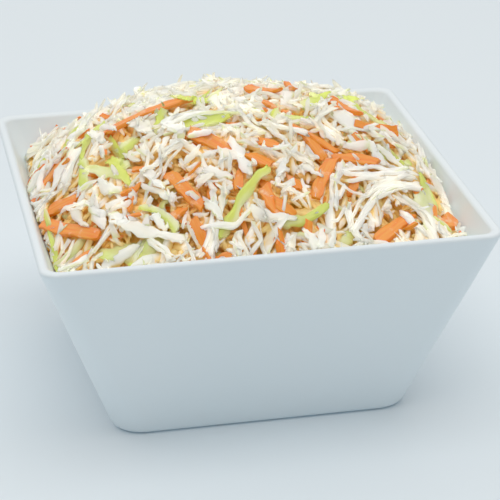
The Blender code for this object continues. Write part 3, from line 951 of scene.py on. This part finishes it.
def make_shreds(kind, material):
    """One mesh of all the shreds of a kind.

    A point is the path's point, plus the across direction times half the width there times the
    section's first number, plus the up direction times half the thickness times its second. Points
    that would cut the wall are moved SHRED_GAP inside it.
    """
    paths = np.array(kind["laid"])
    length, width, thickness, tint = np.array(kind["sizes"]).T
    count, _, stations = paths.shape
    share = stations_of(stations)[None, :]
    spine = np.moveaxis(paths[:, :3], 1, 2).copy()
    pitch = np.sin(chance.normal(size=(count, 1)) * kind["pitch"])
    tumble = chance.normal(size=(count, 1)) * kind["tumble"]
    spine[..., 2] += (pitch * share + np.abs(pitch) * 0.4) * length[:, None] / 2
    spine[..., 2] += np.abs(np.sin(tumble)) * width[:, None] * 0.25
    along = unit(np.gradient(spine, axis=1))
    turn = paths[:, 3]
    across = np.stack([-np.sin(turn), np.cos(turn), paths[:, 4]], axis=-1)
    across = unit(across - along * (across * along).sum(axis=-1, keepdims=True))
    up = np.cross(along, across)
    rolled = (tumble + chance.normal(size=(count, 1)) * kind["twist"] * share)[..., None]
    across, up = across * np.cos(rolled) + up * np.sin(rolled), up * np.cos(rolled) - across * np.sin(rolled)

    from_end = (1 - np.abs(share)) * length[:, None] / 2 / width[:, None]
    pick = np.where(share < 0, 0, 1)
    rows = np.arange(count)[:, None]
    tips = chance.uniform(*kind["tips"], (count, 2))[rows, pick]
    round_off = chance.uniform(0.3, 1.2, (count, 2))[rows, pick]
    taper = np.clip(from_end / round_off, 0.0, 1.0) ** 0.5
    tip = tips + (1 - tips) * taper
    wedge = 1 + chance.normal(size=(count, 1)) * 0.18 * share
    left = width[:, None] / 2 * tip * wedge * wander(count, stations, kind["ragged"])
    right = width[:, None] / 2 * tip * wedge * wander(count, stations, kind["ragged"])
    deep = thickness[:, None] / 2 * (0.5 + 0.5 * taper)

    q, h = kind["section"][:, 0], kind["section"][:, 1]
    around = len(q)
    side = np.where(q < 0, left[..., None], right[..., None]) * q
    cup = chance.normal(size=(count, 1, 1)) * kind["cup"] * width[:, None, None] * q**2
    fold = chance.normal(size=(count, stations, around)) * kind["crumple"]
    fold *= np.minimum(width, 4 * MM)[:, None, None]
    rise = deep[..., None] * h + cup + fold * np.abs(q) ** 0.5
    torn = chance.normal(size=(count, stations, around)) * kind["torn"]
    torn *= np.minimum(width, 3 * MM)[:, None, None]
    slant = (chance.normal(size=(count, 2)) * kind["slant"])[rows, pick] * np.clip(1 - from_end, 0, 1)
    reach = torn * (np.abs(share) > 0.97)[..., None] * 0.7 + slant[..., None] * side
    points = (spine[:, :, None] + across[:, :, None] * side[..., None] + up[:, :, None] * rise[..., None]
              + along[:, :, None] * reach[..., None])
    points = inside_bowl(points, SHRED_GAP)

    each = stations * around
    first = np.arange(count)[:, None, None] * each
    quads = (first + tube_faces(stations, around)[None]).reshape(-1, 4)[:, ::-1]
    start = (first[:, 0] + np.arange(around)[None]).reshape(-1, around)
    end = (first[:, 0] + (stations - 1) * around + np.arange(around)[None])[:, ::-1]
    piece = new_piece(kind["name"], points.reshape(-1, 3), [quads, start, end], material,
                      crease=math.radians(kind["crease"]))

    # Depth under the skyline, weighted more near the rim: the materials paint shade between the shreds from
    # it.
    below = sample(skyline, points[..., 0], points[..., 1]) - points[..., 2]
    point_values(piece, "depth", below / MM * shade_strength(points[..., 2]))
    point_values(piece, "tint", np.broadcast_to(tint[:, None, None], below.shape))
    grain = np.stack(np.broadcast_arrays(share[..., None] * length[:, None, None] / 2 / MM, side / MM,
                                         tint[:, None, None] * 97.0), axis=-1)
    point_values(piece, "grain", grain, "FLOAT_VECTOR")
    swing = (tint * 7 % 1 * 2 * math.pi)[:, None, None]
    point_values(piece, "run", share[..., None] * np.cos(swing) + q * np.sin(swing))
    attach(piece, "root")
    return piece


# %% [markdown]
# ## The core
#
# The core is the part of the heap that only shows through gaps. Its top follows the first shreds,
# and its sides the bowl's wall. Shreds laid all the way down to the floor would take long to make
# and never be seen, so one closed body stands for them.

# %% Building the core


def make_core(material):
    """Rings that grow from the top's middle to the wall, go down the wall, and shrink to the base's middle.

    A ring is the outline of the bowl's inside times a share. On the top its height is read
    from the field, and on the side it falls evenly to the floor.
    """
    gap, sunk = 0.6 * MM, 0.3 * MM
    spread = np.linspace(0.01, 1.0, 110)
    rim = np.array([[inner_half(RIM_Z) - gap - 4 * MM, RIM_Z, 3 * MM]])
    outline = square_ring(rim, 6, 90)[0, :, :2]
    top = outline[None] * spread[:, None, None]
    heights = sample(core_top, top[..., 0], top[..., 1]) - sunk
    top = np.concatenate([top, heights[..., None]], axis=-1)
    rows = [top]
    for share in (0.33, 0.66, 1.0):
        z = top[-1, :, 2] * (1 - share) + (FLOOR + gap + 4 * MM) * share
        scale = (inner_half(z) - gap) / outline.max()
        rows.append(np.concatenate([outline * scale[:, None], z[:, None]], axis=-1)[None])
    base = outline * (inner_half(FLOOR) - 6 * MM) / outline.max()
    for share in (1.0, 0.05):
        rows.append(np.concatenate([base * share, np.full((len(base), 1), FLOOR + gap)], axis=-1)[None])
    rings = inside_bowl(np.concatenate(rows), gap)
    count, columns = rings.shape[:2]
    middle = float(sample(core_top, np.zeros(1), np.zeros(1))[0]) - sunk
    points = np.concatenate([rings.reshape(-1, 3), [[0, 0, middle], [0, 0, FLOOR + gap]]])
    ends = np.arange(columns)
    after, last = (ends + 1) % columns, (count - 1) * columns
    top_cap = np.stack([np.full(columns, count * columns), ends, after], axis=-1)
    base_cap = np.stack([np.full(columns, count * columns + 1), last + after, last + ends], axis=-1)
    faces = [tube_faces(count, columns)[:, ::-1], top_cap, base_cap]
    piece = new_piece("slaw_core", points, faces, material)
    # Depth under the skyline, weighted more near the rim: the material paints the core's shade from it.
    below = sample(skyline, points[:, 0], points[:, 1]) - points[:, 2]
    point_values(piece, "depth", below / MM * shade_strength(points[:, 2]))
    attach(piece, "root")
    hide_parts("slaw")
    return piece


# %% [markdown]
# ## Finishes of the salad
#
# Cut cabbage is wet and lets light in a few millimetres deep, so its shader scatters light under the
# surface, red a little further than blue, which keeps its shadows warm. An image wrapped round each
# shred would show seams at its edges, so the colours come from values stored at its points: tint is
# one number for a whole shred, run goes from one side or end of it to the other, and grain gives the
# place along and across it, for the fibres. A fourth, depth, says how far a point lies under the
# heap's skyline, which is its own surface smoothed. There the colour turns tan and then brown, as
# painted shade between the shreds.

# %% Colours, and the painted shade that deepens them
WHITE, CREAM = colour(247, 249, 240), colour(246, 243, 221)
PALE_GREEN, LEAF_GREEN = colour(228, 236, 162), colour(206, 224, 84)
SKIN, SKIN_DEPTH = (1.0, 0.96, 0.88), 4.5 * MM
# Depths in millimetres of the painted shade: where tan begins, where it is full and brown begins, and where
# brown is full.
TAN_FROM, BROWN_FROM, BROWN_FULL = 0.0, 1.6, 4.5


def read(tree, name):
    """The factor of a stored point value."""
    return node(tree, "Attribute", attribute_name=name).outputs["Fac"]


def fibres(tree, stretch, detail, roughness=0.5):
    """Noise in a shred's own directions, along it and across it. A small stretch draws its spots out."""
    place = node(tree, "Attribute", attribute_name="grain").outputs["Vector"]
    place = node(tree, "Mapping", {"Vector": place, "Scale": stretch}).outputs["Vector"]
    inputs = {"Vector": place, "Scale": 1.0, "Detail": detail, "Roughness": roughness}
    return node(tree, "TexNoise", inputs).outputs["Fac"]


def shaded_by_depth(tree, base, tan, brown):
    """A colour with painted shade: it turns tan and then brown as its point lies deeper under the heap's
    skyline.
    """
    depth = read(tree, "depth")
    warm = mixed(tree, ramp(tree, depth, TAN_FROM, BROWN_FROM), base, tan)
    return mixed(tree, ramp(tree, depth, BROWN_FROM, BROWN_FULL), warm, brown)


# %% Cabbage


def cabbage_material(name, leafiness, tan, brown):
    """Dressed cabbage: creamy white, greener towards one end of some shreds, with fine lengthwise veins, and
    painted shade in tan and brown, its last two arguments, where it lies deep in the heap.

    leafiness holds two values: a shred's middle runs from the first, where its tint is 0, to the
    second, where it is 1. From about 0.5 it is pale green, and from about 1 leaf green.
    """
    made, tree, shader = new_material(name, 0.5, 0.2, 1.0, SKIN, SKIN_DEPTH)
    tint = read(tree, "tint")
    patch = fibres(tree, (0.12, 0.3, 1.0), 2.0)
    creamy = node(tree, "Math", {0: patch, 1: tint}, operation="SUBTRACT").outputs[0]
    base = mixed(tree, ramp(tree, creamy, -0.3, 0.5), WHITE, CREAM)
    middle = node(tree, "MapRange", {"Value": tint, "To Min": leafiness[0], "To Max": leafiness[1]})
    leafy = node(tree, "Math", {0: read(tree, "run"), 1: 0.30, 2: middle.outputs["Result"]},
                 operation="MULTIPLY_ADD")
    leafy = node(tree, "Math", {0: patch, 1: 0.8, 2: leafy.outputs[0]}, operation="MULTIPLY_ADD").outputs[0]
    base = mixed(tree, ramp(tree, leafy, 0.8, 1.1), base, PALE_GREEN)
    base = mixed(tree, ramp(tree, leafy, 1.1, 1.5), base, LEAF_GREEN)
    veins = fibres(tree, (0.15, 2.2, 1.0), 3.0)
    base = mixed(tree, 0.10, base, veins, "OVERLAY")
    # Painted shade: tan, then brown, deeper in the heap.
    base = shaded_by_depth(tree, base, tan, brown)
    tree.links.new(base, shader.inputs["Base Color"])
    bump = node(tree, "Bump", {"Height": veins, "Strength": 0.2, "Distance": 0.3 * MM})
    tree.links.new(bump.outputs["Normal"], shader.inputs["Normal"])
    return made


# The last two colours of each are painted shade: tan, then brown, deep in the heap.
cabbage = cabbage_material("dressed_cabbage", (0.0, 0.35), colour(250, 213, 112), colour(240, 192, 86))
green_leaf = cabbage_material("green_leaf", (0.75, 1.2), colour(214, 206, 110), colour(196, 166, 66))

# %% Carrot


def carrot_material(name):
    """Carrot: bright orange, streaked lengthwise, with a thin pale film of dressing in patches, and a deeper
    orange painted as shade deep in the heap.
    """
    made, tree, shader = new_material(name, 0.45, 0.3)
    streak = fibres(tree, (0.1, 1.2, 1.0), 3.0)
    base = mixed(tree, ramp(tree, streak, 0.3, 0.7), colour(255, 113, 4), colour(255, 143, 30))
    film = fibres(tree, (0.3, 0.3, 1.0), 4.0, 0.65)
    coat = node(tree, "Math", {0: read(tree, "tint"), 1: 0.25, 2: film}, operation="MULTIPLY_ADD")
    base = mixed(tree, ramp(tree, coat.outputs[0], 0.70, 0.98), base, colour(254, 204, 150))
    # Painted shade: a deeper orange where the carrot lies deep in the heap.
    base = shaded_by_depth(tree, base, colour(250, 132, 30), colour(240, 114, 22))
    tree.links.new(base, shader.inputs["Base Color"])
    bump = node(tree, "Bump", {"Height": streak, "Strength": 0.3, "Distance": 0.3 * MM})
    tree.links.new(bump.outputs["Normal"], shader.inputs["Normal"])
    return made


carrot = carrot_material("carrot")

# %% The heap's inside


def core_material():
    """The heap's inside, which shows only in gaps: cabbage painted tan as shade, with brown depths."""
    made, tree, shader = new_material("deep_slaw", 0.55, 0.2)
    place = node(tree, "TexCoord").outputs["Object"]
    mottle = node(tree, "TexNoise", {"Vector": place, "Scale": 260.0, "Detail": 4.0}).outputs["Fac"]
    # Painted shade: the core is tan, and turns brown deeper under the skyline.
    base = mixed(tree, ramp(tree, mottle, 0.3, 0.7), colour(253, 224, 138), colour(249, 210, 108))
    depth = read(tree, "depth")
    base = mixed(tree, ramp(tree, depth, 3.0, 7.0), base, colour(238, 184, 90))
    tree.links.new(base, shader.inputs["Base Color"])
    bump = node(tree, "Bump", {"Height": mottle, "Strength": 0.5, "Distance": 1.0 * MM})
    tree.links.new(bump.outputs["Normal"], shader.inputs["Normal"])
    return made


# %% Building the salad
make_core(core_material())
for kinds, material, slot in (
    (cabbage_kinds, cabbage, "cabbage"),
    (green_kinds, green_leaf, "green_leaf"),
    (carrot_kinds, carrot, "carrot"),
):
    for kind in kinds:
        make_shreds(kind, material)

# %% [markdown]
# ## Floor, light and camera
#
# The bowl stands on a pale floor under large soft lights, as small dishes usually do in a studio.
# One broad panel hangs above and behind, and lights the heap's top and the rim. A smaller one in
# front lifts the shadows between the shreds, and an even sky fills what is left. Many bounces are
# allowed, because light between white things bounces often before it fades.

# %% Floor
scene = bpy.context.scene


def make_floor():
    """A plain pale floor."""
    made = bpy.data.materials.new("pale_floor")
    made.use_nodes = True
    shader = made.node_tree.nodes["Principled BSDF"]
    shader.inputs["Base Color"].default_value = (0.74, 0.84, 0.90, 1)
    shader.inputs["Roughness"].default_value = 0.9
    shader.inputs["Specular IOR Level"].default_value = 0.1
    size = 6.0
    points = np.array([[-size, -size, 0], [size, -size, 0], [size, size, 0], [-size, size, 0]], float)
    floor = new_piece("floor", points, [np.array([[0, 1, 2, 3]])], made, smooth=False)


make_floor()

# %% Light


def panel(name, place, aim, size, power, tint):
    """A square soft light at a place, turned towards a point."""
    light = bpy.data.lights.new(name, "AREA")
    light.shape = "SQUARE"
    light.size = size
    light.energy = power
    light.color = tint
    made = bpy.data.objects.new(name, light)
    made.location = place
    made.rotation_euler = (Vector(aim) - Vector(place)).to_track_quat("-Z", "Y").to_euler()
    scene.collection.objects.link(made)


def sky(strength, tint):
    """Even light from all around."""
    world = bpy.data.worlds.new("studio")
    world.use_nodes = True
    back = world.node_tree.nodes["Background"]
    back.inputs["Color"].default_value = (*tint, 1)
    back.inputs["Strength"].default_value = strength
    scene.world = world


sky(0.16, (1.0, 0.985, 0.96))
panel("top_light", (-0.12, 0.45, 1.3), (0, 0, 0.05), 3.2, 24, (1.0, 0.99, 0.98))
panel("front_top_light", (0.05, -0.34, 1.2), (0, 0, 0.07), 1.0, 5.0, (1.0, 0.99, 0.97))
scene.cycles.max_bounces = 20
scene.cycles.diffuse_bounces = 14
scene.view_settings.view_transform = "Standard"
scene.view_settings.look = "None"
scene.view_settings.gamma = 1.5

# %% [markdown]
# The camera stands in front of the bowl, 11 degrees round to the left and 23 degrees up. Its lens is
# long, so that the far walls look hardly smaller than the near ones. Its three directions are worked
# out from the angles, and a last small turn about the line of sight tilts the view.

# %% Camera
AZIMUTH, ELEVATION, TILT = math.radians(10.96), math.radians(23.25), math.radians(-0.72)
DISTANCE, FOCAL = 0.737, 162.0
AIM = np.array([5.2, 0.0, 38.9]) * MM
ahead = np.array([math.sin(AZIMUTH) * math.cos(ELEVATION), math.cos(AZIMUTH) * math.cos(ELEVATION),
                  -math.sin(ELEVATION)])
right = np.array([math.cos(AZIMUTH), -math.sin(AZIMUTH), 0.0])
above = np.cross(right, ahead)
turned_right = right * math.cos(TILT) + above * math.sin(TILT)
turned_above = above * math.cos(TILT) - right * math.sin(TILT)
lens = bpy.data.cameras.new("camera")
lens.lens = FOCAL
lens.sensor_width = 36.0
lens.clip_start = 0.01
camera = bpy.data.objects.new("camera", lens)
axes = np.stack([turned_right, turned_above, -ahead], axis=1)
pose = np.eye(4)
pose[:3, :3] = axes
pose[:3, 3] = AIM - ahead * DISTANCE
camera.matrix_world = Matrix(pose.tolist())
scene.collection.objects.link(camera)
scene.camera = camera
